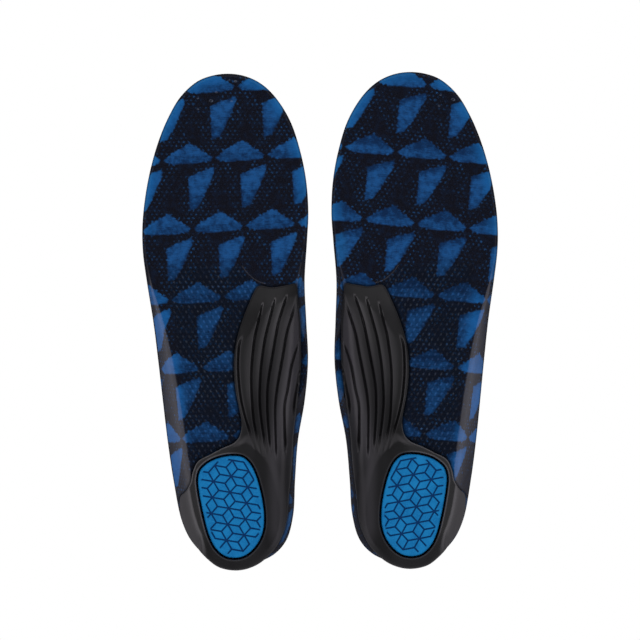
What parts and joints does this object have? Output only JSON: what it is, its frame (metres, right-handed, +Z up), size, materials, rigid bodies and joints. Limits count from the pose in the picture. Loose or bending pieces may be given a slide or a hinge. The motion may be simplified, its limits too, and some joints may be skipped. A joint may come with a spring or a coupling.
{
  "type": "cushioned insole pair",
  "caption": "Pair of full-length cushioned insoles with a clear gel base, fluted arch shell, cupped heel and grooved heel pad.",
  "frame": {"origin": "ground point midway between the two insoles, centre of the pair's box at the height of its underside", "axes": "+X towards the right-foot insole, +Y towards the toes, +Z up towards the foot side"},
  "size_m": [0.2038, 0.285, 0.0255],
  "materials": {
    "printed_knit": "blue and black geometric printed knit",
    "clear_gel": "clear glossy gel over the blue and black print",
    "black_shell": "black satin moulded elastomer",
    "blue_gel": "blue satin gel with moulded grooves"
  },
  "bodies": {
    "right_insole": {"right_gel_base_rear": "clear_gel", "right_top_cover_rear": "printed_knit", "right_arch_shell": "black_shell"},
    "right_forefoot": {"right_gel_base_front": "clear_gel", "right_top_cover_front": "printed_knit"},
    "right_heel_cushion": {"right_heel_pad": "blue_gel"},
    "left_insole": {"left_gel_base_rear": "clear_gel", "left_top_cover_rear": "printed_knit", "left_arch_shell": "black_shell"},
    "left_forefoot": {"left_gel_base_front": "clear_gel", "left_top_cover_front": "printed_knit"},
    "left_heel_cushion": {"left_heel_pad": "blue_gel"}
  },
  "joints": [
    {"name": "right_forefoot_flex", "type": "hinge", "parent": "right_insole", "child": "right_forefoot", "pos_m": [0.0545, 0.0455, 0.005], "axis": [0.9729, -0.2312, 0], "range_deg": [0, 50]},
    {"name": "right_pad_press", "type": "slide", "parent": "right_insole", "child": "right_heel_cushion", "axis": [0, 0, 1], "range_m": [0, 0.0015]},
    {"name": "left_insole_spacing", "type": "slide", "parent": "right_insole", "child": "left_insole", "axis": [-1, 0, 0], "range_m": [0, 0.06]},
    {"name": "left_forefoot_flex", "type": "hinge", "parent": "left_insole", "child": "left_forefoot", "pos_m": [-0.0545, 0.0455, 0.005], "axis": [0.9729, 0.2312, 0], "range_deg": [0, 50]},
    {"name": "left_pad_press", "type": "slide", "parent": "left_insole", "child": "left_heel_cushion", "axis": [0, 0, 1], "range_m": [0, 0.0015]}
  ]
}
